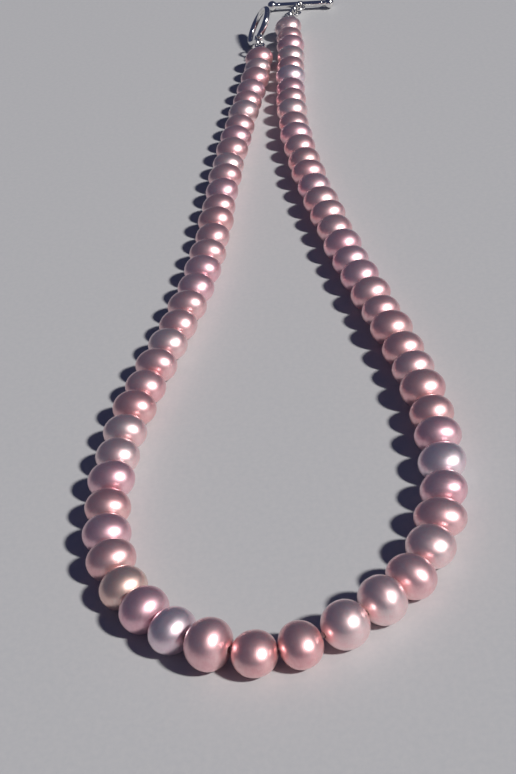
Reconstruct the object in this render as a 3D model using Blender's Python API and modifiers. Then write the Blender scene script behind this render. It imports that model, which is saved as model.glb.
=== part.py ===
"""A single-strand freshwater pearl necklace, laid out as a teardrop with its toggle clasp open.

The pearls are strung on knotted silk. The strand bends at its knots: it is built as groups of three
pearls, and each group but the front one hangs on the knot between it and its neighbour. The toggle
ring ends the left side, and the toggle bar ends the right side on a short chain of jump rings.

Lengths in this file are in millimetres and are turned into metres where geometry is made.
Z is up, the stone or table is at z = 0, and the clasp lies towards +Y.
"""

import math

import bmesh
import bpy
from mathutils import Matrix, Vector

MM = 0.001

# Origin: the middle of the laid-out necklace, on the surface it lies on. It is measured from the
# point under the middle of the front pearl.
MIDDLE_X = 1.99
MIDDLE_Y = 116.0

# Pearls
PEARLS_LEFT = 34
PEARLS_RIGHT = 37
GROUP = 3
PEARL_RADIUS = 3.68
PEARL_TAPER = 0.42
PEARL_RADIUS_SPREAD = 0.12
PEARL_FLATNESS = 0.81
PEARL_HALF_LENGTH = 3.17
PEARL_HALF_LENGTH_SPREAD = 0.16
LEFT_PEARLS_SHORTER = 0.05
TOUCH_OVERLAP = 0.3
KNOT_GAP = 0.34
END_FACE_RADIUS = 0.8
WAIST_RADIUS = 1.2
BORE_RADIUS = 0.48

# Silk
SILK_RADIUS = 0.24
KNOT_RADIUS = 0.42
KNOT_SHOULDER = 0.6
SILK_GAP = 0.34

# End fittings, jump rings and clasp
EYE_RADIUS = 1.0
WIRE_RADIUS = 0.3
TIP_RADIUS = 1.15
TIP_MIDDLE = 1.5
EYE_MIDDLE = 3.45
JUMP_RADIUS = 1.6
JUMP_PITCH = 2.35
RING_RADIUS = 4.6
RING_TUBE = 0.75
BAR_HALF_LENGTH = 7.6
BAR_RADIUS = 0.72
BALL_RADIUS = 1.25
EYE_SINK = 0.45
SILK_INTO_TIP = 1.2
TIP_HOLE_PAST_MIDDLE = 0.1
TIP_HOLE_RADIUS = 0.52

# How the clasp's pieces lie: the line of each end's links, and the lean of the toggle ring.
LEFT_HEADING = math.radians(91.5)
LEFT_RISE = math.radians(8.2)
RING_LEAN = math.radians(55)
RIGHT_HEADING = math.radians(78)
RIGHT_RISE = math.radians(-4.6)

# The strand's route through the pearls' middles, in plan, from the front pearl to each end.
LEFT_ROUTE = [
    (0.0, 0.0),
    (-5.8, 1.6),
    (-11.0, 5.2),
    (-15.6, 10.0),
    (-19.4, 16.1),
    (-22.0, 24.4),
    (-22.9, 34.0),
    (-22.7, 44.0),
    (-21.3, 56.0),
    (-18.3, 69.5),
    (-15.1, 83.0),
    (-12.5, 97.0),
    (-10.9, 112.0),
    (-10.0, 128.0),
    (-8.9, 144.0),
    (-7.5, 158.0),
    (-6.0, 172.0),
    (-4.4, 186.0),
    (-3.5, 202.0),
]
RIGHT_ROUTE = [
    (0.0, 0.0),
    (6.4, 0.9),
    (12.2, 3.6),
    (17.4, 7.6),
    (21.8, 12.8),
    (24.8, 19.7),
    (26.5, 27.5),
    (27.0, 36.0),
    (26.6, 46.0),
    (25.0, 57.0),
    (22.2, 70.0),
    (18.6, 84.0),
    (14.9, 98.5),
    (11.9, 113.0),
    (9.0, 127.0),
    (6.7, 141.0),
    (5.0, 155.0),
    (4.1, 170.0),
    (3.9, 185.0),
    (3.9, 200.0),
    (3.3, 211.0),
    (2.8, 224.0),
]


def clear_scene():
    for obj in list(bpy.data.objects):
        bpy.data.objects.remove(obj, do_unlink=True)


def new_collection(name):
    collection = bpy.data.collections.new(name)
    bpy.context.scene.collection.children.link(collection)
    return collection


def new_material(name, colour, roughness, metallic):
    material = bpy.data.materials.new(name)
    material.use_nodes = True
    shader = material.node_tree.nodes["Principled BSDF"]
    shader.inputs["Base Color"].default_value = (*colour, 1.0)
    shader.inputs["Roughness"].default_value = roughness
    shader.inputs["Metallic"].default_value = metallic
    return material


def smooth_route(points, steps=24):
    """A dense Catmull-Rom curve through the points, as vectors with the length run so far."""
    ends = [Vector(p) for p in points]
    padded = [2 * ends[0] - ends[1], *ends, 2 * ends[-1] - ends[-2]]
    curve = []
    for a, b, c, d in zip(padded, padded[1:], padded[2:], padded[3:]):
        for i in range(steps):
            t = i / steps
            curve.append(
                0.5
                * (
                    2 * b
                    + (c - a) * t
                    + (2 * a - 5 * b + 4 * c - d) * t * t
                    + (3 * b - a - 3 * c + d) * t * t * t
                )
            )
    curve.append(ends[-1])
    run = [0.0]
    for a, b in zip(curve, curve[1:]):
        run.append(run[-1] + (b - a).length)
    return curve, run


def point_at(route, length):
    curve, run = route
    for i in range(1, len(run)):
        if run[i] >= length:
            share = (length - run[i - 1]) / (run[i] - run[i - 1])
            return curve[i - 1].lerp(curve[i], share)
    return curve[-1]


def pearl_size(side, index):
    """Half the width and half the length of one pearl: each is a little different from the next."""
    turn = 2.4 * index + (1.1 if side < 0 else 0.0)
    radius = PEARL_RADIUS - PEARL_TAPER * index / PEARLS_RIGHT
    radius += PEARL_RADIUS_SPREAD * math.sin(turn)
    half = PEARL_HALF_LENGTH + PEARL_HALF_LENGTH_SPREAD * math.sin(1.7 * turn + 0.6)
    if side < 0:
        half -= LEFT_PEARLS_SHORTER
    return radius, half


def string_side(route_points, side, count):
    """The pearls of one side from the front outwards, as (middle, radius, half length)."""
    route = smooth_route(route_points)
    radius, half = pearl_size(1, 0)
    pearls = [(Vector((0.0, 0.0, radius * PEARL_FLATNESS)), radius, half)]
    run = 0.0
    for index in range(1, count + 1):
        before = half
        radius, half = pearl_size(side, index)
        knot = index > 1 and (index - 2) % GROUP == 0
        run += before + half + (KNOT_GAP if knot else -TOUCH_OVERLAP)
        spot = point_at(route, run)
        pearls.append((Vector((spot.x, spot.y, radius * PEARL_FLATNESS)), radius, half))
    return pearls


def joint_between(one, other):
    """The point on the thread where two neighbouring pearls face each other."""
    share = (one[2] + KNOT_GAP / 2) / (one[2] + other[2] + KNOT_GAP)
    return one[0].lerp(other[0], share)


def pearl_axes(pearls):
    """Each pearl's drilled direction, along the strand."""
    axes = []
    for i in range(len(pearls)):
        before = pearls[max(i - 1, 0)][0]
        after = pearls[min(i + 1, len(pearls) - 1)][0]
        axes.append((after - before).normalized())
    return axes


def at_world(obj, parent, place):
    """Puts an object under its parent at a place given in millimetres from the front pearl."""
    middle = Vector((MIDDLE_X, MIDDLE_Y, 0.0))
    world = Matrix.Translation((place.translation - middle) * MM) @ place.to_3x3().to_4x4()
    obj.parent = parent
    inside = parent_world[parent.name].inverted() if parent else Matrix.Identity(4)
    obj.matrix_basis = inside @ world
    parent_world[obj.name] = world


def new_pivot(name, parent, place, collection):
    empty = bpy.data.objects.new(name, None)
    empty.empty_display_size = 2 * MM
    collection.objects.link(empty)
    at_world(empty, parent, place)
    return empty


def tube_mesh(name, points, radii, sides):
    """A closed tube through the points, with a radius at each, as a mesh in metres."""
    curve = bpy.data.curves.new(name, "CURVE")
    curve.dimensions = "3D"
    curve.twist_mode = "Z_UP"
    curve.bevel_depth = MM
    curve.bevel_resolution = (sides - 4) // 2
    curve.use_fill_caps = True
    spline = curve.splines.new("POLY")
    spline.points.add(len(points) - 1)
    for spot, place, radius in zip(spline.points, points, radii):
        spot.co = (*(place * MM), 1.0)
        spot.radius = radius
        spot.tilt = math.pi / sides
    holder = bpy.data.objects.new(name, curve)
    bpy.context.scene.collection.objects.link(holder)
    bpy.context.view_layer.update()
    graph = bpy.context.evaluated_depsgraph_get()
    mesh = bpy.data.meshes.new_from_object(holder.evaluated_get(graph))
    bpy.data.objects.remove(holder)
    bpy.data.curves.remove(curve)
    work = bmesh.new()
    work.from_mesh(mesh)
    bmesh.ops.remove_doubles(work, verts=work.verts, dist=1e-6)
    bmesh.ops.recalc_face_normals(work, faces=work.faces)
    work.to_mesh(mesh)
    work.free()
    mesh.name = name
    return mesh


def new_object(name, mesh, material, parent, place, collection):
    obj = bpy.data.objects.new(name, mesh)
    collection.objects.link(obj)
    at_world(obj, parent, place)
    mesh.materials.clear()
    mesh.materials.append(material)
    mesh.shade_smooth()
    mesh.set_sharp_from_angle(angle=math.radians(50))
    return obj


def new_tool(name, mesh, parent, place):
    """A helper solid that cuts or joins another, and is never a piece itself."""
    obj = bpy.data.objects.new(name, mesh)
    tools.objects.link(obj)
    at_world(obj, parent, place)
    obj.hide_render = True
    obj.display_type = "WIRE"
    return obj


def combine(obj, tool, operation):
    modifier = obj.modifiers.new(operation.title(), "BOOLEAN")
    modifier.operation = operation
    modifier.solver = "EXACT"
    modifier.object = tool


def flattened_tube(name, points, radii, sides):
    """A tube that is lower than it is wide, like the pearls."""
    stretch = Matrix.Diagonal((1.0, 1.0, 1 / PEARL_FLATNESS, 1.0))
    mesh = tube_mesh(name, [stretch @ point for point in points], radii, sides)
    mesh.transform(stretch.inverted())
    return mesh


def group_profile(pearls, axes):
    """Points and radii along a group of pearls, which touch at narrow waists."""
    points, radii = [], []
    for i, ((middle, radius, half), axis) in enumerate(zip(pearls, axes)):
        reach = half * math.sqrt(1 - (END_FACE_RADIUS / radius) ** 2)
        if i == 0:
            points.append(middle - axis * reach)
            radii.append(END_FACE_RADIUS)
        for angle in (30, 60, 90, 120, 150):
            turn = math.radians(angle)
            points.append(middle - axis * (half * math.cos(turn)))
            radii.append(radius * math.sin(turn))
        if i == len(pearls) - 1:
            points.append(middle + axis * reach)
            radii.append(END_FACE_RADIUS)
        else:
            following, _, following_half = pearls[i + 1]
            pole = middle + axis * half
            points.append(pole.lerp(following - axes[i + 1] * following_half, 0.5))
            radii.append(WAIST_RADIUS)
    return points, radii


def knot_points(spot, axis):
    """A knot around a spot on the thread, as points and radii."""
    shoulder = KNOT_SHOULDER * KNOT_RADIUS
    offsets = (-KNOT_RADIUS, -shoulder, shoulder, KNOT_RADIUS)
    widths = [SILK_RADIUS, KNOT_RADIUS, KNOT_RADIUS, SILK_RADIUS]
    return [spot + axis * offset for offset in offsets], widths


def silk_run(pearls, start, start_knot, end, end_knot, end_reach=0.0):
    """The silk from one joint to the next, with a knot at either end or a small clearance there."""
    inward = (pearls[0][0] - start).normalized()
    outward = (end - pearls[-1][0]).normalized()
    clear = KNOT_RADIUS + SILK_GAP
    points, radii = [start + inward * clear], [SILK_RADIUS]
    if start_knot:
        points, radii = knot_points(start, inward)
    points += [pearl[0] for pearl in pearls]
    radii += [SILK_RADIUS] * len(pearls)
    if end_knot:
        more, widths = knot_points(end, outward)
        points += more
        radii += widths
        points.append(end + outward * end_reach)
        radii.append(SILK_RADIUS)
    else:
        points.append(end - outward * clear)
        radii.append(SILK_RADIUS)
    return points, radii


def build_group(name, pearls, axes, start, end, thread, pivot, origin):
    """One group of pearls with its bore, and the silk inside it."""
    place = Matrix.Translation(origin)
    points, radii = group_profile(pearls, axes)
    body = flattened_tube("pearls_" + name, [p - origin for p in points], radii, 10)
    obj = new_object("pearls_" + name, body, nacre, pivot, place, necklace)
    middles = [pearl[0] for pearl in pearls]
    before = start + (start - middles[0]).normalized()
    after = end + (end - middles[-1]).normalized()
    path = [before, *middles, after]
    bore = tube_mesh("bore_" + name, [p - origin for p in path], [BORE_RADIUS] * len(path), 8)
    combine(obj, new_tool("bore_" + name, bore, pivot, place), "DIFFERENCE")
    silk_path, silk_radii = thread
    mesh = tube_mesh("silk_" + name, [p - origin for p in silk_path], silk_radii, 6)
    new_object("silk_" + name, mesh, silk, pivot, place, necklace)


def build_side(side, name, route, count):
    """One side of the strand, group by group, and the frame in which its end fittings lie."""
    pearls = string_side(route, side, count)
    axes = pearl_axes(pearls)
    parent = front_pivot
    for number, first in enumerate(range(2, count + 1, GROUP), start=1):
        group = pearls[first : first + GROUP]
        start = joint_between(pearls[first - 1], pearls[first])
        at_end = first + GROUP > count
        if at_end:
            end = group[-1][0] + axes[-1] * (group[-1][2] + KNOT_GAP / 2)
        else:
            end = joint_between(group[-1], pearls[first + GROUP])
        label = f"{name}_{number:02d}"
        pivot = new_pivot("pivot_" + label, parent, Matrix.Translation(start), necklace)
        thread = silk_run(group, start, True, end, at_end, SILK_INTO_TIP)
        build_group(label, group, axes[first : first + GROUP], start, end, thread, pivot, start)
        parent = pivot
    return pearls, parent, end


def link_frame(start, heading, rise, along, roll):
    """A frame on the line of the clasp's links: +X runs along the line, and roll turns about it."""
    line = Matrix.Rotation(heading, 4, "Z") @ Matrix.Rotation(-rise, 4, "Y")
    shift = Matrix.Translation((along, 0, 0)) @ Matrix.Rotation(roll, 4, "X")
    return Matrix.Translation(start) @ line @ shift


def ball_mesh(name, radius, segments, rings):
    work = bmesh.new()
    bmesh.ops.create_uvsphere(work, u_segments=segments, v_segments=rings, radius=radius * MM)
    mesh = bpy.data.meshes.new(name)
    work.to_mesh(mesh)
    work.free()
    return mesh


def torus_mesh(name, major, minor, around, across):
    bpy.ops.mesh.primitive_torus_add(
        major_segments=around,
        minor_segments=across,
        major_radius=major * MM,
        minor_radius=minor * MM,
    )
    holder = bpy.context.object
    mesh = holder.data
    mesh.name = name
    bpy.data.objects.remove(holder)
    return mesh


def rod_mesh(name, length, radius, sides):
    """A rod along +X from the origin."""
    work = bmesh.new()
    turn = Matrix.Translation((length * MM / 2, 0, 0)) @ Matrix.Rotation(math.pi / 2, 4, "Y")
    bmesh.ops.create_cone(
        work,
        cap_ends=True,
        segments=sides,
        radius1=radius * MM,
        radius2=radius * MM,
        depth=length * MM,
        matrix=turn,
    )
    mesh = bpy.data.meshes.new(name)
    work.to_mesh(mesh)
    work.free()
    return mesh


def turned_object(name, profile, material, parent, place, sides):
    """A piece turned about its own Z, from (radius, height) pairs that run down its outside."""
    mesh = bpy.data.meshes.new(name)
    points = [(radius * MM, 0.0, height * MM) for radius, height in profile]
    mesh.from_pydata(points, [(i, i + 1) for i in range(len(points) - 1)], [])
    obj = bpy.data.objects.new(name, mesh)
    necklace.objects.link(obj)
    at_world(obj, parent, place)
    mesh.materials.append(material)
    screw = obj.modifiers.new("Turn", "SCREW")
    screw.steps = sides
    screw.render_steps = sides
    screw.use_merge_vertices = True
    screw.merge_threshold = 1e-6
    return obj


def build_tip(name, frame, parent):
    """The end fitting: a hollow-mouthed ball that swallows the end knot, with an eye."""
    ball = ball_mesh("tip_" + name, TIP_RADIUS, 14, 9)
    tip = new_object("tip_" + name, ball, silver, parent, frame(TIP_MIDDLE, 0.0), necklace)
    eye = torus_mesh("eye_tip_" + name, EYE_RADIUS, WIRE_RADIUS, 16, 6)
    combine(tip, new_tool("eye_tip_" + name, eye, parent, frame(EYE_MIDDLE, 0.0)), "UNION")
    depth = TIP_MIDDLE + TIP_HOLE_PAST_MIDDLE
    mouth = rod_mesh("mouth_" + name, depth, TIP_HOLE_RADIUS, 10)
    combine(tip, new_tool("mouth_" + name, mouth, parent, frame(0.0, 0.0)), "DIFFERENCE")


def build_jump_ring(name, parent, pivot_at, middle_at, roll, frame):
    pivot = new_pivot("pivot_" + name, parent, frame(pivot_at, roll), necklace)
    standing = frame(middle_at, roll) @ Matrix.Rotation(math.pi / 2, 4, "X")
    ring = torus_mesh(name, JUMP_RADIUS, WIRE_RADIUS, 18, 6)
    new_object(name, ring, silver, pivot, standing, necklace)
    return pivot


def arc(centre, radius, start, stop, steps):
    """(radius, height) pairs round a centre on the axis, between two angles up from the waist."""
    angles = [math.radians(start + (stop - start) * i / steps) for i in range(steps + 1)]
    return [(radius * math.cos(angle), centre + radius * math.sin(angle)) for angle in angles]


clear_scene()
necklace = new_collection("pearl_necklace")
tools = new_collection("cutters")
parent_world = {}
nacre = new_material("pearl", (0.72, 0.50, 0.53), 0.22, 0.0)
silk = new_material("silk", (0.85, 0.76, 0.74), 0.8, 0.0)
silver = new_material("silver", (0.86, 0.85, 0.83), 0.16, 1.0)

# The front group: one pearl on each side of the front pearl.
left_pearls = string_side(LEFT_ROUTE, -1, PEARLS_LEFT)
right_pearls = string_side(RIGHT_ROUTE, 1, PEARLS_RIGHT)
front = [left_pearls[1], left_pearls[0], right_pearls[1]]
front_axes = pearl_axes([left_pearls[2], *front, right_pearls[2]])[1:-1]
front_origin = front[1][0]
front_pivot = new_pivot("front", None, Matrix.Translation(front_origin), necklace)
front_start = joint_between(left_pearls[1], left_pearls[2])
front_end = joint_between(right_pearls[1], right_pearls[2])
thread = silk_run(front, front_start, False, front_end, False)
build_group(
    "front", front, front_axes, front_start, front_end, thread, front_pivot, front_origin
)

# The two sides.
left_pearls, left_last, left_end = build_side(-1, "left", LEFT_ROUTE, PEARLS_LEFT)
right_pearls, right_last, right_end = build_side(1, "right", RIGHT_ROUTE, PEARLS_RIGHT)


# The left end: a tip, one jump ring, and the toggle ring leaning on the other side of the strand.
def left_frame(along, roll):
    return link_frame(left_end, LEFT_HEADING, LEFT_RISE, along, roll)


near_wire = EYE_MIDDLE
link_middle = near_wire + JUMP_RADIUS
far_wire = link_middle + JUMP_RADIUS
build_tip("left", left_frame, left_last)
link = build_jump_ring(
    "link_left", left_last, near_wire, link_middle, -RING_LEAN / 2, left_frame
)
pivot = new_pivot("pivot_toggle_ring", link, left_frame(far_wire, -RING_LEAN), necklace)
ring_middle = far_wire + EYE_RADIUS + EYE_SINK + RING_RADIUS
toggle_ring = new_object(
    "toggle_ring",
    torus_mesh("toggle_ring", RING_RADIUS, RING_TUBE, 32, 8),
    silver,
    pivot,
    left_frame(ring_middle, -RING_LEAN),
    necklace,
)
ring_eye = torus_mesh("eye_ring", EYE_RADIUS, WIRE_RADIUS, 16, 6)
eye_place = left_frame(far_wire, -RING_LEAN)
combine(toggle_ring, new_tool("eye_ring", ring_eye, pivot, eye_place), "UNION")


# The right end: a tip, four jump rings, and the toggle bar lying across their line.
def right_frame(along, roll):
    return link_frame(right_end, RIGHT_HEADING, RIGHT_RISE, along, roll)


build_tip("right", right_frame, right_last)
middle = near_wire + JUMP_RADIUS
link = right_last
wire = near_wire
for number in range(1, 5):
    upright = number % 2 == 1
    roll = 0.0 if upright else math.pi / 2
    link = build_jump_ring(f"link_right_{number}", link, wire, middle, roll, right_frame)
    wire = middle + JUMP_RADIUS
    middle += JUMP_PITCH
pivot = new_pivot("pivot_toggle_bar", link, right_frame(wire, 0.0), necklace)
bar_middle = wire + EYE_RADIUS + EYE_SINK
ball_turn = math.degrees(math.acos(BAR_RADIUS / BALL_RADIUS))
top_ball = arc(BAR_HALF_LENGTH, BALL_RADIUS, 90, -ball_turn, 6)
low_ball = arc(-BAR_HALF_LENGTH, BALL_RADIUS, ball_turn, -90, 6)
across = right_frame(bar_middle, 0.0) @ Matrix.Rotation(math.pi / 2, 4, "X")
toggle_bar = turned_object("toggle_bar", top_ball + low_ball, silver, pivot, across, 12)
bar_eye = torus_mesh("eye_bar", EYE_RADIUS, WIRE_RADIUS, 16, 6)
eye_place = right_frame(wire, math.pi / 2)
combine(toggle_bar, new_tool("eye_bar", bar_eye, pivot, eye_place), "UNION")
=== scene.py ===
"""Looks of the pearl necklace: drilled pearls on knotted silk and a silver toggle clasp.

Lengths are in millimetres here, measured from the middle of the front pearl on the floor, and are
turned into metres in the frame's own axes where an object is made. Z is up.
"""

import math
import random

import bmesh
import bpy
from mathutils import Matrix, Vector, noise


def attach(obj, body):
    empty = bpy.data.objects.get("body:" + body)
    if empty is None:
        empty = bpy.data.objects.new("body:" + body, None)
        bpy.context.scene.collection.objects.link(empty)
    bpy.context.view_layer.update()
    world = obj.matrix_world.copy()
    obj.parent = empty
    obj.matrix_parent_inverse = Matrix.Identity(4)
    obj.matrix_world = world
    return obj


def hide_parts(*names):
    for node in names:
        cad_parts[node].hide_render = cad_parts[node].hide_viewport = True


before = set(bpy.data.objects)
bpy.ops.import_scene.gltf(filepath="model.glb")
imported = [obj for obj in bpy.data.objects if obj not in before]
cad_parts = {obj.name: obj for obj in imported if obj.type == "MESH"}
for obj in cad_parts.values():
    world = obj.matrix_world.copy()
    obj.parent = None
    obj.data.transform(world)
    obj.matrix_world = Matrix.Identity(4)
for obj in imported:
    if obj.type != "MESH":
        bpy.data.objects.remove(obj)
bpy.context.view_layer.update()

MM = 0.001
MIDDLE = Vector((1.99, 116.0, 0.0))

# The strand, laid out as the frame has it. Sizes vary along each side like sine waves.
ROUTE_STEPS = 24
PEARLS_LEFT = 34
PEARLS_RIGHT = 37
GROUP = 3
PEARL_RADIUS = 3.68
PEARL_TAPER = 0.42
PEARL_RADIUS_SPREAD = 0.12
PEARL_FLATNESS = 0.81
PEARL_HALF_LENGTH = 3.17
PEARL_HALF_LENGTH_SPREAD = 0.16
LEFT_PEARLS_SHORTER = 0.05
RADIUS_TURN = 2.4
LEFT_RADIUS_PHASE = 1.1
LENGTH_TURN = 1.7
LENGTH_PHASE = 0.6
TOUCH_OVERLAP = 0.3
KNOT_GAP = 0.34
SILK_RADIUS = 0.24
SILK_INTO_TIP = 1.2
LEFT_ROUTE = [
    (0.0, 0.0),
    (-5.8, 1.6),
    (-11.0, 5.2),
    (-15.6, 10.0),
    (-19.4, 16.1),
    (-22.0, 24.4),
    (-22.9, 34.0),
    (-22.7, 44.0),
    (-21.3, 56.0),
    (-18.3, 69.5),
    (-15.1, 83.0),
    (-12.5, 97.0),
    (-10.9, 112.0),
    (-10.0, 128.0),
    (-8.9, 144.0),
    (-7.5, 158.0),
    (-6.0, 172.0),
    (-4.4, 186.0),
    (-3.5, 202.0),
]
RIGHT_ROUTE = [
    (0.0, 0.0),
    (6.4, 0.9),
    (12.2, 3.6),
    (17.4, 7.6),
    (21.8, 12.8),
    (24.8, 19.7),
    (26.5, 27.5),
    (27.0, 36.0),
    (26.6, 46.0),
    (25.0, 57.0),
    (22.2, 70.0),
    (18.6, 84.0),
    (14.9, 98.5),
    (11.9, 113.0),
    (9.0, 127.0),
    (6.7, 141.0),
    (5.0, 155.0),
    (4.1, 170.0),
    (3.9, 185.0),
    (3.9, 200.0),
    (3.3, 211.0),
    (2.8, 224.0),
]

# End fittings, jump rings and clasp, as the frame has them.
EYE_RADIUS = 1.0
WIRE_RADIUS = 0.3
TIP_RADIUS = 1.15
TIP_MIDDLE = 1.5
EYE_MIDDLE = 3.45
JUMP_RADIUS = 1.6
JUMP_PITCH = 2.35
RIGHT_LINKS = 4
RING_RADIUS = 4.6
RING_TUBE = 0.75
BAR_HALF_LENGTH = 7.6
BAR_RADIUS = 0.72
BALL_RADIUS = 1.25
EYE_SINK = 0.45
TIP_HOLE_RADIUS = 0.52
LEFT_HEADING = math.radians(91.5)
LEFT_RISE = math.radians(8.2)
RING_LEAN = math.radians(55)
RIGHT_HEADING = math.radians(78)
RIGHT_RISE = math.radians(-4.6)

# Their finer shape: wires and their cut ends, tip walls, and the bands turned on the bar.
WIRE_AROUND = 48
WIRE_ACROSS = 14
EYE_SLIT = 0.05
EYE_SLIT_TURN = 0.9
TIP_AROUND = 32
TIP_WALL = 0.22
SEAM_RADIUS = 0.07
SEAM_SINK = 0.02
TIP_COLLAR_MAJOR = 0.34
TIP_COLLAR_MINOR = 0.2
TIP_COLLAR_SINK = 0.12
JUMP_SLIT = 0.06
LEFT_SLIT_TURN = 1.3
RIGHT_SLIT_TURN = 0.9
RIGHT_SLIT_STEP = 0.8
SOLDER_MAJOR = 0.2
SOLDER_MINOR = 0.3
SOLDER_SINK = 0.05
BAR_AROUND = 40
END_BAND_PLACE = 5.7
END_BAND = (0.22, 0.16)
MIDDLE_BAND = (0.55, 0.14)
BAND_STEPS = 8
SHARP_ANGLE = math.radians(46)

# One pearl's own shape: the drilled hole, and how far it is from a true oval.
HOLE_RADIUS = 0.44
HOLE_BEVEL = 0.07
TOUCH_CLEARANCE = 0.02
HINGE_CLEARANCE = -0.04
PEARL_AROUND = 48
PEARL_RINGS = 30
BLUNTNESS = 0.95
PEARL_TILT = math.radians(9)
UNEVEN = 0.014
UNEVEN_SCALE = 1.1
RIPPLE = 0.0035
RIPPLE_SCALE = 4.0
GROOVES = 2
GROOVE_REACH = 0.7
GROOVE_WIDTHS = (0.05, 0.1)
GROOVE_DEPTHS = (0.0, 0.0028, 0.007)

# What the pearls' own random numbers start from.
FRONT_NUMBER = 7
LEFT_NUMBERS = 100
RIGHT_NUMBERS = 200
TILT_NUMBERS = 500

# The silk: three plies, and the knots drawn tight.
SILK_LAY = 1.5
SILK_AROUND = 18
SILK_FURROW = 0.3
SILK_STEP = 0.12
SILK_SHORT_OF_KNOT = 0.25
FRONT_SILK_SHORTER = 0.08
KNOT_STEPS = 60
KNOT_AROUND = 10
KNOT_SPREAD = 0.088
KNOT_HEIGHT = 0.2
KNOT_THREAD_RADIUS = 0.15

# The tint of each pearl from the front outwards, and of the front pearl.
TINT_NAMES = {
    "r": "nacre_rose",
    "c": "nacre_copper",
    "p": "nacre_peach",
    "m": "nacre_mauve",
    "l": "nacre_lavender",
    "b": "nacre_blush",
}
FRONT_TINT = "c"
LEFT_TINTS = "rlmpcmcmbbcrrbrrmmrrcrmrbrmrbrmrbr"
RIGHT_TINTS = "cbbrbrmlmccrccrrmmmrrrmrcrmrbrmlrbmrb"

# Pearls whose outline differs from the frame's: factors on their width and on their height.
OWN_SHAPE = {
    "pearl_front": (0.91, 0.95),
    "pearl_right_01": (0.92, 0.95),
    "pearl_right_02": (0.95, 1.13),
    "pearl_right_03": (0.95, 1.13),
    "pearl_right_04": (1.0, 1.04),
    "pearl_right_06": (1.02, 0.92),
    "pearl_right_08": (1.0, 0.93),
    "pearl_left_01": (1.0, 1.2),
    "pearl_left_02": (0.98, 1.03),
    "pearl_left_03": (0.96, 1.03),
}

# Camera: where it stands, and its turn, tilt and roll.
CAMERA_AT = Vector((22.72, -132.74, 136.72))
CAMERA_YAW = math.radians(7.0)
CAMERA_DOWN = math.radians(34.627)
CAMERA_ROLL = math.radians(-9.95)
CAMERA_LENS = 67.44
SENSOR_WIDTH = 36.0
NEAREST_SEEN = 0.005

# Light, and the floor's half width in metres.
SUN_FROM = Vector((0.88, -0.53, 0.93))
SUN_STRENGTH = 3.5
SUN_WIDTH = math.radians(5)
SUN_COLOUR = (1.0, 0.975, 0.94)
SKY_COLOUR = (0.38, 0.47, 1.0, 1.0)
SKY_STRENGTH = 0.08
FLOOR_HALF = 2


def to_world(place):
    """A place in millimetres from the front pearl, as a matrix in the frame."""
    return Matrix.Translation((place.translation - MIDDLE) * MM) @ place.to_3x3().to_4x4()


# ---------------------------------------------------------------- the strand's layout


def smooth_route(points):
    """A dense Catmull-Rom curve through the points, as vectors with the length run so far."""
    ends = [Vector(p) for p in points]
    padded = [2 * ends[0] - ends[1], *ends, 2 * ends[-1] - ends[-2]]
    curve = []
    for a, b, c, d in zip(padded, padded[1:], padded[2:], padded[3:]):
        for i in range(ROUTE_STEPS):
            t = i / ROUTE_STEPS
            curve.append(
                0.5
                * (
                    2 * b
                    + (c - a) * t
                    + (2 * a - 5 * b + 4 * c - d) * t * t
                    + (3 * b - a - 3 * c + d) * t * t * t
                )
            )
    curve.append(ends[-1])
    run = [0.0]
    for a, b in zip(curve, curve[1:]):
        run.append(run[-1] + (b - a).length)
    return curve, run


def point_at(route, length):
    """The point at a length along the route."""
    curve, run = route
    for i in range(1, len(run)):
        if run[i] >= length:
            share = (length - run[i - 1]) / (run[i] - run[i - 1])
            return curve[i - 1].lerp(curve[i], share)
    return curve[-1]


def pearl_size(side, index):
    """The radius and half length of a pearl: side -1 is the left one, and index counts outwards."""
    turn = RADIUS_TURN * index + (LEFT_RADIUS_PHASE if side < 0 else 0.0)
    radius = PEARL_RADIUS - PEARL_TAPER * index / PEARLS_RIGHT
    radius += PEARL_RADIUS_SPREAD * math.sin(turn)
    wave = math.sin(LENGTH_TURN * turn + LENGTH_PHASE)
    half = PEARL_HALF_LENGTH + PEARL_HALF_LENGTH_SPREAD * wave
    if side < 0:
        half -= LEFT_PEARLS_SHORTER
    return radius, half


def string_side(route_points, side, count):
    """The pearls of one side from the front outwards, as (middle, radius, half length)."""
    route = smooth_route(route_points)
    radius, half = pearl_size(1, 0)
    pearls = [(Vector((0.0, 0.0, radius * PEARL_FLATNESS)), radius, half)]
    run = 0.0
    for index in range(1, count + 1):
        before = half
        radius, half = pearl_size(side, index)
        run += before + half + (KNOT_GAP if at_knot(index) else -TOUCH_OVERLAP)
        spot = point_at(route, run)
        pearls.append((Vector((spot.x, spot.y, radius * PEARL_FLATNESS)), radius, half))
    return pearls


def at_knot(index):
    """Whether there is a knot on the near side of this pearl."""
    return index > 1 and (index - 2) % GROUP == 0


def joint_between(one, other):
    """The point on the silk where two neighbouring pearls face each other."""
    share = (one[2] + KNOT_GAP / 2) / (one[2] + other[2] + KNOT_GAP)
    return one[0].lerp(other[0], share)


def pearl_axes(pearls):
    """Each pearl's drilled direction, along the strand."""
    axes = []
    for i in range(len(pearls)):
        before = pearls[max(i - 1, 0)][0]
        after = pearls[min(i + 1, len(pearls) - 1)][0]
        axes.append((after - before).normalized())
    return axes


def link_frame(start, heading, rise, along, roll):
    """A frame on the line of the clasp's links: +X runs on along the line."""
    line = Matrix.Rotation(heading, 4, "Z") @ Matrix.Rotation(-rise, 4, "Y")
    shift = Matrix.Translation((along, 0, 0)) @ Matrix.Rotation(roll, 4, "X")
    return Matrix.Translation(start) @ line @ shift


# ---------------------------------------------------------------- mesh helpers


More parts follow.
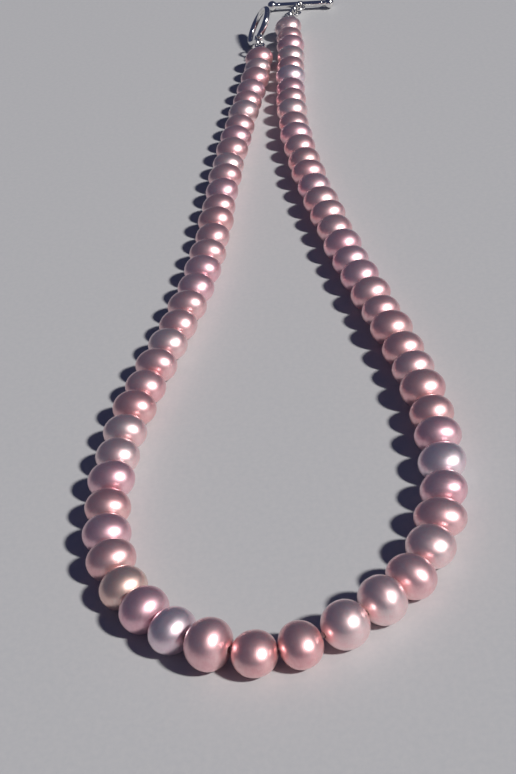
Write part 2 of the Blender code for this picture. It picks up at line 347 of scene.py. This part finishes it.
def grid_mesh(name, rows, closed_rows=False, caps=False):
    """A mesh over rows of points, each row a closed loop, in millimetres."""
    work = bmesh.new()
    made = [[work.verts.new(point * MM) for point in row] for row in rows]
    pairs = list(zip(made, made[1:]))
    if closed_rows:
        pairs.append((made[-1], made[0]))
    for low, high in pairs:
        for j in range(len(low)):
            k = (j + 1) % len(low)
            work.faces.new((low[j], low[k], high[k], high[j]))
    if caps:
        work.faces.new(list(reversed(made[0])))
        work.faces.new(made[-1])
    bmesh.ops.recalc_face_normals(work, faces=work.faces)
    mesh = bpy.data.meshes.new(name)
    work.to_mesh(mesh)
    work.free()
    return mesh


def joined_mesh(name, parts):
    """Several meshes, each with its matrix in millimetres, as one mesh."""
    work = bmesh.new()
    for mesh, place in parts:
        other = mesh.copy()
        shift = place.copy()
        shift.translation = place.translation * MM
        other.transform(shift)
        work.from_mesh(other)
        bpy.data.meshes.remove(other)
    mesh = bpy.data.meshes.new(name)
    work.to_mesh(mesh)
    work.free()
    return mesh


def new_piece(name, mesh, material, place, body, stands_for):
    """An object on its body, in the place of the CAD nodes that it stands for."""
    piece = bpy.data.objects.new(name, mesh)
    bpy.context.scene.collection.objects.link(piece)
    piece.matrix_world = to_world(place)
    mesh.materials.clear()
    mesh.materials.append(material)
    mesh.shade_smooth()
    mesh.set_sharp_from_angle(angle=SHARP_ANGLE)
    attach(piece, body)
    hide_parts(*stands_for)


def turned_rows(profile, around):
    """Rows of points turned about Z from (radius, height) pairs."""
    rows = []
    for radius, height in profile:
        row = []
        for j in range(around):
            angle = 2 * math.pi * j / around
            row.append(Vector((radius * math.cos(angle), radius * math.sin(angle), height)))
        rows.append(row)
    return rows


def ring_mesh(name, major, minor, around, across, slit=0.0):
    """A wire ring in the XY plane, closed, or with its two ends facing each other across a slit."""
    rows = []
    first = slit / major / 2
    turns = around if slit == 0.0 else around - 1
    for i in range(around):
        angle = first + (2 * math.pi - 2 * first) * i / turns
        out = Vector((math.cos(angle), math.sin(angle), 0.0))
        row = []
        for j in range(across):
            turn = 2 * math.pi * j / across
            height = Vector((0, 0, minor * math.sin(turn)))
            row.append(out * (major + minor * math.cos(turn)) + height)
        rows.append(row)
    return grid_mesh(name, rows, closed_rows=slit == 0.0, caps=slit != 0.0)


# ---------------------------------------------------------------- pearls


def blunted(value):
    """A sine or cosine raised a little, which makes a circle fuller at its shoulders."""
    return math.copysign(abs(value) ** BLUNTNESS, value)


def pearl_mesh(name, radius, flatness, back, ahead, number):
    """A pearl drilled along its own X: a flat button with full shoulders, a little uneven."""
    chance = random.Random(number)
    offset = Vector((chance.uniform(0, 50), chance.uniform(0, 50), chance.uniform(0, 50)))
    grooves = []
    for _ in range(GROOVES):
        spot = chance.uniform(-GROOVE_REACH, GROOVE_REACH)
        grooves.append((spot, chance.uniform(*GROOVE_WIDTHS)))
    depth = chance.choice(GROOVE_DEPTHS)
    start = math.asin(((HOLE_RADIUS + HOLE_BEVEL) / radius / flatness) ** (1 / BLUNTNESS))
    rows = []
    for i in range(PEARL_RINGS + 1):
        turn = start + (math.pi - 2 * start) * i / PEARL_RINGS
        along = -blunted(math.cos(turn))
        reach = back if along < 0 else ahead
        fade = blunted(math.sin(turn))
        row = []
        for j in range(PEARL_AROUND):
            angle = 2 * math.pi * j / PEARL_AROUND
            side = Vector((0.0, math.cos(angle), math.sin(angle))) * fade
            way = side + Vector((along, 0.0, 0.0))
            uneven = UNEVEN * noise.noise(way * UNEVEN_SCALE + offset)
            uneven += RIPPLE * noise.noise(way * RIPPLE_SCALE + offset)
            for spot, width in grooves:
                uneven -= depth * math.exp(-(((along - spot) / width) ** 2))
            side.z *= flatness
            point = Vector((reach * along, 0.0, 0.0)) + side * radius
            row.append(point * (1 + fade * uneven))
        rows.append(row)
    near = -back * blunted(math.cos(start))
    far = ahead * blunted(math.cos(start))
    for height in (far - HOLE_BEVEL, far - 1.0, 0.0, near + 1.0, near + HOLE_BEVEL):
        row = []
        for j in range(PEARL_AROUND):
            angle = 2 * math.pi * j / PEARL_AROUND
            across = HOLE_RADIUS * math.cos(angle)
            row.append(Vector((height, across, HOLE_RADIUS * math.sin(angle))))
        rows.append(row)
    mesh = grid_mesh(name, rows, closed_rows=True)
    seed = mesh.attributes.new("seed", "FLOAT", "POINT")
    seed.data.foreach_set("value", [chance.uniform(0.0, 40.0)] * len(mesh.vertices))
    return mesh


def add_pearl(name, pearl, axis, back, ahead, tint, body, node, number):
    """A pearl lying on the floor, drilled along the axis."""
    middle, radius, _ = pearl
    wider, taller = OWN_SHAPE.get(name, (1.0, 1.0))
    flatness = PEARL_FLATNESS * taller / wider
    mesh = pearl_mesh(name, radius * wider, flatness, back, ahead, number)
    tilt = random.Random(number + TILT_NUMBERS).uniform(-PEARL_TILT, PEARL_TILT)
    facing = axis.to_track_quat("X", "Z").to_matrix().to_4x4()
    facing = facing @ Matrix.Rotation(tilt, 4, "X")
    lowest = min((facing @ vertex.co).z for vertex in mesh.vertices) / MM
    place = Matrix.Translation((middle.x, middle.y, -lowest)) @ facing
    new_piece(name, mesh, nacres[TINT_NAMES[tint]], place, body, [node])


def half_lengths(pearls, index, count):
    """How far a pearl reaches towards the front and away from it."""
    half = pearls[index][2]
    touching = half - TOUCH_OVERLAP / 2 - TOUCH_CLEARANCE
    hinged = half - HINGE_CLEARANCE
    back = hinged if at_knot(index) else touching
    ahead = hinged if at_knot(index + 1) or index == count else touching
    return back, ahead


# ---------------------------------------------------------------- silk


def swept_rows(points, section):
    """Rows of points round a path. The section gives the radius for a distance and an angle."""
    rows = []
    across = Vector((0, 0, 1))
    run = 0.0
    for i, point in enumerate(points):
        ahead = points[min(i + 1, len(points) - 1)] - points[max(i - 1, 0)]
        ahead.normalize()
        across = (across - ahead * across.dot(ahead)).normalized()
        side = ahead.cross(across)
        if i:
            run += (point - points[i - 1]).length
        row = []
        for radius, angle in section(run):
            row.append(point + (across * math.cos(angle) + side * math.sin(angle)) * radius)
        rows.append(row)
    return rows


def ply_section(run):
    """Three plies laid up together, turning as they run."""
    lay = 2 * math.pi * run / SILK_LAY
    spots = []
    for j in range(SILK_AROUND):
        angle = 2 * math.pi * j / SILK_AROUND
        radius = SILK_RADIUS * (1 - SILK_FURROW * abs(math.sin(1.5 * (angle - lay))))
        spots.append((radius, angle))
    return spots


def along_path(points, step):
    """Points every step along straight runs between the given ones."""
    spots = [points[0]]
    for a, b in zip(points, points[1:]):
        parts = max(1, round((b - a).length / step))
        spots += [a.lerp(b, i / parts) for i in range(1, parts + 1)]
    return spots


def knot_mesh(name):
    """An overhand knot drawn tight, about Z."""
    points = []
    for i in range(KNOT_STEPS):
        turn = 2 * math.pi * i / KNOT_STEPS
        x = math.sin(turn) + 2 * math.sin(2 * turn)
        y = math.cos(turn) - 2 * math.cos(2 * turn)
        z = -math.sin(3 * turn)
        points.append(Vector((x * KNOT_SPREAD, y * KNOT_SPREAD, z * KNOT_HEIGHT)))
    rows = []
    for i, point in enumerate(points):
        ahead = (points[(i + 1) % KNOT_STEPS] - points[i - 1]).normalized()
        side = ahead.cross(Vector((0, 0, 1))).normalized()
        up = side.cross(ahead)
        row = []
        for j in range(KNOT_AROUND):
            angle = 2 * math.pi * j / KNOT_AROUND
            out = side * math.cos(angle) + up * math.sin(angle)
            row.append(point + out * KNOT_THREAD_RADIUS)
        rows.append(row)
    return grid_mesh(name, rows, closed_rows=True)


def add_thread(label, path, knots, body):
    """One group's silk with its knots, in the place of its plain core."""
    origin = path[0]
    points = along_path([p - origin for p in path], SILK_STEP)
    core = grid_mesh("core_" + label, swept_rows(points, ply_section), caps=True)
    parts = [(core, Matrix.Identity(4))]
    knot = knot_mesh("knot_" + label)
    for spot, axis in knots:
        turn = axis.to_track_quat("Z", "Y").to_matrix().to_4x4()
        parts.append((knot, Matrix.Translation(spot - origin) @ turn))
    mesh = joined_mesh("thread_" + label, parts)
    place = Matrix.Translation(origin)
    new_piece("thread_" + label, mesh, silk, place, body, ["silk_" + label])


# ---------------------------------------------------------------- one side of the strand


def dress_side(side, name, route, count, tints):
    """Pearls and silk of one side. Returns its pearls and the end of its last knot."""
    numbers = LEFT_NUMBERS if side < 0 else RIGHT_NUMBERS
    pearls = string_side(route, side, count)
    axes = pearl_axes(pearls)
    for index in range(1, count + 1):
        number = (index - 2) // GROUP + 1
        label = "front" if index == 1 else f"{name}_{number:02d}"
        body = "front" if index == 1 else f"strand_{label}"
        back, ahead = half_lengths(pearls, index, count)
        add_pearl(
            f"pearl_{name}_{index:02d}",
            pearls[index],
            axes[index],
            back,
            ahead,
            tints[index - 1],
            body,
            "pearls_" + label,
            index + numbers,
        )
    for number, first in enumerate(range(2, count + 1, GROUP), start=1):
        group = pearls[first : first + GROUP]
        start = joint_between(pearls[first - 1], pearls[first])
        at_end = first + GROUP > count
        if at_end:
            end = group[-1][0] + axes[-1] * (group[-1][2] + KNOT_GAP / 2)
        else:
            end = joint_between(group[-1], pearls[first + GROUP])
        inward = (group[0][0] - start).normalized()
        outward = (end - group[-1][0]).normalized()
        path = [start, *[pearl[0] for pearl in group]]
        knots = [(start, inward)]
        if at_end:
            path += [end, end + outward * SILK_INTO_TIP]
            knots.append((end, outward))
        else:
            path.append(end - outward * SILK_SHORT_OF_KNOT)
        label = f"{name}_{number:02d}"
        add_thread(label, path, knots, f"strand_{label}")
    return pearls, end


# ---------------------------------------------------------------- materials


def noise_node(tree, vector, seed, scale, detail, roughness=0.5, distortion=0.0):
    """Four-dimensional noise, with the piece's seed as the fourth where there is one."""
    made = tree.nodes.new("ShaderNodeTexNoise")
    made.noise_dimensions = "4D"
    made.inputs["Scale"].default_value = scale
    made.inputs["Detail"].default_value = detail
    made.inputs["Roughness"].default_value = roughness
    made.inputs["Distortion"].default_value = distortion
    tree.links.new(vector, made.inputs["Vector"])
    if seed is not None:
        tree.links.new(seed, made.inputs["W"])
    return made.outputs["Fac"]


def ranged(tree, value, low, high, to_low, to_high):
    """A value brought from one range to another, and held inside it."""
    made = tree.nodes.new("ShaderNodeMapRange")
    made.inputs["From Min"].default_value = low
    made.inputs["From Max"].default_value = high
    made.inputs["To Min"].default_value = to_low
    made.inputs["To Max"].default_value = to_high
    tree.links.new(value, made.inputs["Value"])
    return made.outputs["Result"]


def calculated(tree, operation, one, other=None):
    """The result of a sum on sockets or numbers."""
    made = tree.nodes.new("ShaderNodeMath")
    made.operation = operation
    for socket, value in zip(made.inputs, (one, other)):
        if value is None:
            continue
        if isinstance(value, (int, float)):
            socket.default_value = value
        else:
            tree.links.new(value, socket)
    return made.outputs["Value"]


def mixed(tree, share, one, other):
    """A mix of two colours, each a colour or a socket."""
    made = tree.nodes.new("ShaderNodeMix")
    made.data_type = "RGBA"
    for socket, value in (
        (made.inputs["Factor"], share),
        (made.inputs[6], one),
        (made.inputs[7], other),
    ):
        if isinstance(value, (int, float)):
            socket.default_value = value
        elif isinstance(value, tuple):
            socket.default_value = (*value, 1.0)
        else:
            tree.links.new(value, socket)
    return made.outputs[2]


def millimetre_coordinates(tree):
    """The piece's own coordinates, in millimetres."""
    place = tree.nodes.new("ShaderNodeTexCoord")
    scale = tree.nodes.new("ShaderNodeVectorMath")
    scale.operation = "SCALE"
    scale.inputs["Scale"].default_value = 1 / MM
    tree.links.new(place.outputs["Object"], scale.inputs[0])
    return scale.outputs["Vector"]


def new_surface(name):
    """A new material, with its node tree and its shader."""
    material = bpy.data.materials.new(name)
    material.use_nodes = True
    tree = material.node_tree
    return material, tree, tree.nodes["Principled BSDF"]


def add_bump(tree, shader, height, strength, distance):
    """Fine relief on a surface."""
    bump = tree.nodes.new("ShaderNodeBump")
    bump.inputs["Strength"].default_value = strength
    bump.inputs["Distance"].default_value = distance
    tree.links.new(height, bump.inputs["Height"])
    tree.links.new(bump.outputs["Normal"], shader.inputs["Normal"])


def nacre_material(name, body, cloud, deep, film):
    """Pearl nacre: cloudy colour, fine growth lines, a pale drill rim, painted shade inside the
    drilled bore and a soft lustre.
    """
    material, tree, shader = new_surface(name)
    spot = millimetre_coordinates(tree)
    seed = tree.nodes.new("ShaderNodeAttribute")
    seed.attribute_name = "seed"
    seed = seed.outputs["Fac"]
    parts = tree.nodes.new("ShaderNodeSeparateXYZ")
    tree.links.new(spot, parts.inputs["Vector"])
    off_axis = calculated(tree, "MULTIPLY", parts.outputs["Y"], parts.outputs["Y"])
    off_axis_z = calculated(tree, "MULTIPLY", parts.outputs["Z"], parts.outputs["Z"])
    off_axis = calculated(tree, "SQRT", calculated(tree, "ADD", off_axis, off_axis_z))

    broad = noise_node(tree, spot, seed, 0.22, 2.0)
    fine = noise_node(tree, spot, seed, 1.6, 4.0, 0.6)
    grain = noise_node(tree, spot, seed, 7.0, 3.0, 0.6)
    wave = tree.nodes.new("ShaderNodeTexWave")
    wave.wave_type = "BANDS"
    wave.bands_direction = "X"
    wave.inputs["Scale"].default_value = 1.1
    wave.inputs["Distortion"].default_value = 2.4
    wave.inputs["Detail"].default_value = 2.0
    wave.inputs["Detail Scale"].default_value = 0.6
    tree.links.new(spot, wave.inputs["Vector"])
    growth = wave.outputs["Fac"]
    pits = tree.nodes.new("ShaderNodeTexVoronoi")
    pits.voronoi_dimensions = "4D"
    pits.inputs["Scale"].default_value = 0.55
    tree.links.new(spot, pits.inputs["Vector"])
    tree.links.new(seed, pits.inputs["W"])
    pit = ranged(tree, pits.outputs["Distance"], 0.02, 0.11, 0.0, 1.0)

    colour = mixed(tree, ranged(tree, broad, 0.36, 0.64, 0.0, 1.0), body, cloud)
    colour = mixed(tree, ranged(tree, fine, 0.45, 0.75, 0.0, 0.55), colour, deep)
    colour = mixed(tree, ranged(tree, growth, 0.0, 1.0, 0.0, 0.1), colour, deep)
    colour = mixed(tree, ranged(tree, pit, 0.0, 1.0, 0.35, 0.0), colour, deep)
    rim = ranged(tree, off_axis, HOLE_RADIUS, 1.0, 0.5, 0.0)
    colour = mixed(tree, rim, colour, (0.86, 0.74, 0.7))
    # Painted shade: the wall inside the drilled bore is mixed towards dark brown.
    bore_shade = ranged(tree, off_axis, HOLE_RADIUS, HOLE_RADIUS + 0.03, 0.7, 0.0)
    colour = mixed(tree, bore_shade, colour, (0.42, 0.27, 0.24))
    tree.links.new(colour, shader.inputs["Base Color"])

    rough = ranged(tree, fine, 0.3, 0.7, 0.37, 0.45)
    worn_rim = ranged(tree, off_axis, HOLE_RADIUS, 1.0, 0.25, 0.0)
    rough = calculated(tree, "ADD", rough, worn_rim)
    tree.links.new(rough, shader.inputs["Roughness"])

    height = calculated(tree, "MULTIPLY", grain, 0.35)
    height = calculated(tree, "ADD", height, calculated(tree, "MULTIPLY", growth, 0.3))
    height = calculated(tree, "ADD", height, calculated(tree, "MULTIPLY", fine, 0.8))
    height = calculated(tree, "ADD", height, calculated(tree, "MULTIPLY", pit, 0.6))
    add_bump(tree, shader, height, 0.35, 0.012 * MM)

    shader.inputs["Metallic"].default_value = 0.92
    shader.inputs["IOR"].default_value = 1.6
    shader.inputs["Subsurface Weight"].default_value = 0.5
    shader.inputs["Subsurface Radius"].default_value = (1.0, 0.42, 0.32)
    shader.inputs["Subsurface Scale"].default_value = 1.1 * MM
    shader.inputs["Coat Weight"].default_value = 0.8
    shader.inputs["Coat Roughness"].default_value = 0.19
    shader.inputs["Coat IOR"].default_value = 1.55
    shader.inputs["Thin Film Thickness"].default_value = film
    shader.inputs["Thin Film IOR"].default_value = 1.42
    shader.inputs["Sheen Weight"].default_value = 0.06
    shader.inputs["Sheen Roughness"].default_value = 0.5
    shader.inputs["Sheen Tint"].default_value = (1.0, 0.72, 0.66, 1.0)
    return material


def silk_material():
    """Twisted silk: pale pink plies with fine filaments and a little fuzz."""
    material, tree, shader = new_surface("silk_twist")
    spot = millimetre_coordinates(tree)
    filaments = noise_node(tree, spot, None, 16.0, 3.0, 0.6, 0.6)
    patches = noise_node(tree, spot, None, 1.3, 2.0)
    twist = ranged(tree, filaments, 0.3, 0.7, 0.0, 1.0)
    colour = mixed(tree, twist, (0.88, 0.78, 0.75), (0.7, 0.52, 0.49))
    colour = mixed(tree, ranged(tree, patches, 0.4, 0.7, 0.0, 0.4), colour, (0.78, 0.6, 0.57))
    tree.links.new(colour, shader.inputs["Base Color"])
    tree.links.new(ranged(tree, filaments, 0.3, 0.7, 0.55, 0.8), shader.inputs["Roughness"])
    add_bump(tree, shader, filaments, 0.6, 0.03 * MM)
    shader.inputs["Sheen Weight"].default_value = 0.5
    shader.inputs["Sheen Roughness"].default_value = 0.4
    return material


def silver_material(name, bright, dull, rough):
    """Polished silver: fine scratches, dull patches and a trace of tarnish."""
    material, tree, shader = new_surface(name)
    spot = millimetre_coordinates(tree)
    patches = noise_node(tree, spot, None, 0.7, 4.0, 0.6)
    specks = noise_node(tree, spot, None, 6.0, 4.0, 0.7)
    stretch = tree.nodes.new("ShaderNodeMapping")
    stretch.inputs["Scale"].default_value = (1.2, 22.0, 9.0)
    stretch.inputs["Rotation"].default_value = (0.3, 0.5, 0.8)
    tree.links.new(spot, stretch.inputs["Vector"])
    scratches = noise_node(tree, stretch.outputs["Vector"], None, 1.5, 3.0, 0.65)
    colour = mixed(tree, ranged(tree, patches, 0.45, 0.7, 0.0, 0.8), bright, dull)
    colour = mixed(tree, ranged(tree, specks, 0.6, 0.75, 0.0, 0.5), colour, (0.42, 0.38, 0.34))
    tree.links.new(colour, shader.inputs["Base Color"])
    worn = calculated(tree, "ADD", ranged(tree, patches, 0.4, 0.7, 0.0, 0.14), rough)
    worn = calculated(tree, "ADD", worn, ranged(tree, scratches, 0.5, 0.8, 0.0, 0.12))
    tree.links.new(worn, shader.inputs["Roughness"])
    height = calculated(tree, "ADD", scratches, calculated(tree, "MULTIPLY", specks, 0.4))
    add_bump(tree, shader, height, 0.25, 0.01 * MM)
    shader.inputs["Metallic"].default_value = 1.0
    return material


def floor_material():
    """A plain pale floor with a very faint grain."""
    material, tree, shader = new_surface("floor")
    spot = millimetre_coordinates(tree)
    grain = noise_node(tree, spot, None, 1.1, 3.0, 0.6)
    grain = ranged(tree, grain, 0.35, 0.65, 0.0, 1.0)
    colour = mixed(tree, grain, (0.53, 0.535, 0.55), (0.56, 0.56, 0.57))
    tree.links.new(colour, shader.inputs["Base Color"])
    shader.inputs["Roughness"].default_value = 0.6
    return material


# Each tint: the body colour, its clouds, its depths, and the nacre layer's thickness in nanometres.
nacres = {
    name: nacre_material(name, *colours, film)
    for name, colours, film in (
        ("nacre_rose", ((0.97, 0.57, 0.60), (0.99, 0.68, 0.69), (0.84, 0.42, 0.46)), 285.0),
        ("nacre_copper", ((0.97, 0.54, 0.56), (0.99, 0.65, 0.64), (0.84, 0.39, 0.42)), 290.0),
        ("nacre_peach", ((0.99, 0.65, 0.57), (0.99, 0.75, 0.67), (0.88, 0.49, 0.43)), 380.0),
        ("nacre_mauve", ((0.95, 0.56, 0.63), (0.98, 0.67, 0.72), (0.79, 0.40, 0.50)), 275.0),
        ("nacre_lavender", ((0.95, 0.75, 0.82), (0.98, 0.83, 0.88), (0.80, 0.58, 0.69)), 265.0),
        ("nacre_blush", ((0.99, 0.70, 0.71), (0.99, 0.79, 0.79), (0.92, 0.55, 0.58)), 290.0),
    )
}
silk = silk_material()
silver = silver_material("silver_polished", (0.9, 0.89, 0.87), (0.78, 0.76, 0.73), 0.1)
silver_wire = silver_material("silver_wire", (0.87, 0.86, 0.84), (0.72, 0.7, 0.67), 0.16)


# ---------------------------------------------------------------- the strand

left_pearls, left_end = dress_side(-1, "left", LEFT_ROUTE, PEARLS_LEFT, LEFT_TINTS)
right_pearls, right_end = dress_side(1, "right", RIGHT_ROUTE, PEARLS_RIGHT, RIGHT_TINTS)

front = [left_pearls[1], left_pearls[0], right_pearls[1]]
front_axis = (right_pearls[1][0] - left_pearls[1][0]).normalized()
touching = left_pearls[0][2] - TOUCH_OVERLAP / 2 - TOUCH_CLEARANCE
add_pearl(
    "pearl_front",
    left_pearls[0],
    front_axis,
    touching,
    touching,
    FRONT_TINT,
    "front",
    "pearls_front",
    FRONT_NUMBER,
)
front_start = joint_between(left_pearls[1], left_pearls[2])
front_end = joint_between(right_pearls[1], right_pearls[2])
front_path = [pearl[0] for pearl in front]
front_path.insert(0, front_start.lerp(front_path[0], FRONT_SILK_SHORTER))
front_path.append(front_end.lerp(front_path[-1], FRONT_SILK_SHORTER))
add_thread("front", front_path, [], "front")


# ---------------------------------------------------------------- clasp


def left_frame(along, roll):
    """A place on the line from the left end of the silk."""
    return link_frame(left_end, LEFT_HEADING, LEFT_RISE, along, roll)


def right_frame(along, roll):
    """A place on the line from the right end of the silk."""
    return link_frame(right_end, RIGHT_HEADING, RIGHT_RISE, along, roll)


def arc(centre, radius, start, stop, steps):
    """(Radius, height) pairs on a circle about the axis, between two angles in degrees."""
    angles = [math.radians(start + (stop - start) * i / steps) for i in range(steps + 1)]
    return [(radius * math.cos(angle), centre + radius * math.sin(angle)) for angle in angles]


def tip_mesh(name):
    """A bead tip about X: a hollow ball open towards the strand, a collar, and a wire eye."""
    mouth = math.degrees(math.acos(TIP_HOLE_RADIUS / TIP_RADIUS))
    shell = arc(0.0, TIP_RADIUS, -mouth, 89, 20)
    inside = arc(0.0, TIP_RADIUS - TIP_WALL, 88, -mouth - 3, 14)
    rows = turned_rows(shell + inside, TIP_AROUND)
    ball = grid_mesh(name + "_ball", rows, closed_rows=True)
    seam = ring_mesh(name + "_seam", TIP_RADIUS - SEAM_SINK, SEAM_RADIUS, 40, 8)
    collar = ring_mesh(name + "_collar", TIP_COLLAR_MAJOR, TIP_COLLAR_MINOR, 28, 10)
    eye = ring_mesh(name + "_eye", EYE_RADIUS, WIRE_RADIUS, WIRE_AROUND, WIRE_ACROSS, EYE_SLIT)
    along = Matrix.Rotation(math.pi / 2, 4, "Y")
    upright = Matrix.Rotation(math.pi / 2, 4, "X")
    collar_place = Matrix.Translation((TIP_RADIUS - TIP_COLLAR_SINK, 0, 0)) @ along
    eye_place = Matrix.Translation((EYE_MIDDLE - TIP_MIDDLE, 0, 0))
    eye_place = eye_place @ Matrix.Rotation(EYE_SLIT_TURN, 4, "Z")
    parts = [(ball, along), (seam, upright), (collar, collar_place), (eye, eye_place)]
    return joined_mesh(name, parts)


def add_fitting(name, mesh, material, place, body, node):
    """A silver piece in the place of one CAD node."""
    new_piece(name, mesh, material, place, body, [node])


left_tip = tip_mesh("bead_tip_left")
left_tip_place = left_frame(TIP_MIDDLE, 0.0)
add_fitting("bead_tip_left", left_tip, silver, left_tip_place, "strand_left_11", "tip_left")
right_tip = tip_mesh("bead_tip_right")
right_tip_place = right_frame(TIP_MIDDLE, 0.0)
add_fitting("bead_tip_right", right_tip, silver, right_tip_place, "strand_right_12", "tip_right")

link_middle = EYE_MIDDLE + JUMP_RADIUS
far_wire = link_middle + JUMP_RADIUS
standing = Matrix.Rotation(math.pi / 2, 4, "X")


def add_jump_ring(name, place, link, slit_turn):
    """A jump ring in its place, with its slit turned. Its body and its CAD node share a name."""
    mesh = ring_mesh(name, JUMP_RADIUS, WIRE_RADIUS, 72, 16, JUMP_SLIT)
    place = place @ standing @ Matrix.Rotation(slit_turn, 4, "Z")
    add_fitting(name, mesh, silver_wire, place, link, link)


left_link_place = left_frame(link_middle, -RING_LEAN / 2)
add_jump_ring("jump_ring_left", left_link_place, "link_left", LEFT_SLIT_TURN)
for number in range(1, RIGHT_LINKS + 1):
    middle = link_middle + JUMP_PITCH * (number - 1)
    roll = 0.0 if number % 2 == 1 else math.pi / 2
    slit_turn = RIGHT_SLIT_TURN + RIGHT_SLIT_STEP * number
    link_place = right_frame(middle, roll)
    add_jump_ring(f"jump_ring_right_{number}", link_place, f"link_right_{number}", slit_turn)

ring_middle = far_wire + EYE_RADIUS + EYE_SINK + RING_RADIUS
hoop = ring_mesh("hoop", RING_RADIUS, RING_TUBE, 120, 24)
hoop_eye = ring_mesh("hoop_eye", EYE_RADIUS, WIRE_RADIUS, WIRE_AROUND, WIRE_ACROSS)
hoop_solder = ring_mesh("hoop_solder", SOLDER_MAJOR, SOLDER_MINOR, 24, 10)
solder_place = Matrix.Translation((-RING_RADIUS - RING_TUBE + SOLDER_SINK, 0, 0))
solder_place = solder_place @ Matrix.Rotation(math.pi / 2, 4, "Y")
hoop_parts = [
    (hoop, Matrix.Identity(4)),
    (hoop_eye, Matrix.Translation((far_wire - ring_middle, 0, 0))),
    (hoop_solder, solder_place),
]
hoop_mesh = joined_mesh("toggle_hoop", hoop_parts)
hoop_place = left_frame(ring_middle, -RING_LEAN)
add_fitting("toggle_hoop", hoop_mesh, silver, hoop_place, "toggle_ring", "toggle_ring")

wire = link_middle + (RIGHT_LINKS - 1) * JUMP_PITCH + JUMP_RADIUS
bar_middle = wire + EYE_RADIUS + EYE_SINK
ball_turn = math.degrees(math.acos(BAR_RADIUS / BALL_RADIUS))


def collar_profile(centre, half_width, swell):
    """A raised band turned on the bar."""
    spots = []
    for i in range(BAND_STEPS + 1):
        turn = math.pi * i / BAND_STEPS
        spots.append((BAR_RADIUS + swell * math.sin(turn), centre + half_width * math.cos(turn)))
    return spots


bar_profile = arc(BAR_HALF_LENGTH, BALL_RADIUS, 89, -ball_turn, 16)
bar_profile += collar_profile(END_BAND_PLACE, *END_BAND)
bar_profile += collar_profile(0.0, *MIDDLE_BAND)
bar_profile += collar_profile(-END_BAND_PLACE, *END_BAND)
bar_profile += arc(-BAR_HALF_LENGTH, BALL_RADIUS, ball_turn, -89, 16)
rod = grid_mesh("rod", turned_rows(bar_profile, BAR_AROUND), caps=True)
rod_eye = ring_mesh("rod_eye", EYE_RADIUS, WIRE_RADIUS, WIRE_AROUND, WIRE_ACROSS)
rod_place = right_frame(bar_middle, 0.0) @ standing
rod_eye_place = rod_place.inverted() @ right_frame(wire, math.pi / 2)
rod_mesh = joined_mesh("toggle_rod", [(rod, Matrix.Identity(4)), (rod_eye, rod_eye_place)])
add_fitting("toggle_rod", rod_mesh, silver, rod_place, "toggle_bar", "toggle_bar")


# ---------------------------------------------------------------- floor, light and camera

floor_mesh = bpy.data.meshes.new("floor")
floor_corners = [
    (-FLOOR_HALF, -FLOOR_HALF, 0),
    (FLOOR_HALF, -FLOOR_HALF, 0),
    (FLOOR_HALF, FLOOR_HALF, 0),
    (-FLOOR_HALF, FLOOR_HALF, 0),
]
floor_mesh.from_pydata(floor_corners, [], [(0, 1, 2, 3)])
floor = bpy.data.objects.new("floor", floor_mesh)
bpy.context.scene.collection.objects.link(floor)
floor_mesh.materials.append(floor_material())

sun_data = bpy.data.lights.new("key", "SUN")
sun_data.energy = SUN_STRENGTH
sun_data.angle = SUN_WIDTH
sun_data.color = SUN_COLOUR
sun = bpy.data.objects.new("key", sun_data)
bpy.context.scene.collection.objects.link(sun)
sun.rotation_euler = SUN_FROM.to_track_quat("Z", "Y").to_euler()

world = bpy.data.worlds.new("studio")
bpy.context.scene.world = world
world.use_nodes = True
background = world.node_tree.nodes["Background"]
background.inputs["Color"].default_value = SKY_COLOUR
background.inputs["Strength"].default_value = SKY_STRENGTH
bpy.context.scene.view_settings.view_transform = "Standard"

camera_data = bpy.data.cameras.new("camera")
camera_data.lens = CAMERA_LENS
camera_data.sensor_width = SENSOR_WIDTH
camera_data.clip_start = NEAREST_SEEN
camera = bpy.data.objects.new("camera", camera_data)
bpy.context.scene.collection.objects.link(camera)
aim = Matrix.Rotation(CAMERA_YAW, 4, "Z")
aim = aim @ Matrix.Rotation(math.pi / 2 - CAMERA_DOWN, 4, "X")
aim = aim @ Matrix.Rotation(CAMERA_ROLL, 4, "Z")
camera.matrix_world = Matrix.Translation((CAMERA_AT - MIDDLE) * MM) @ aim
bpy.context.scene.camera = camera
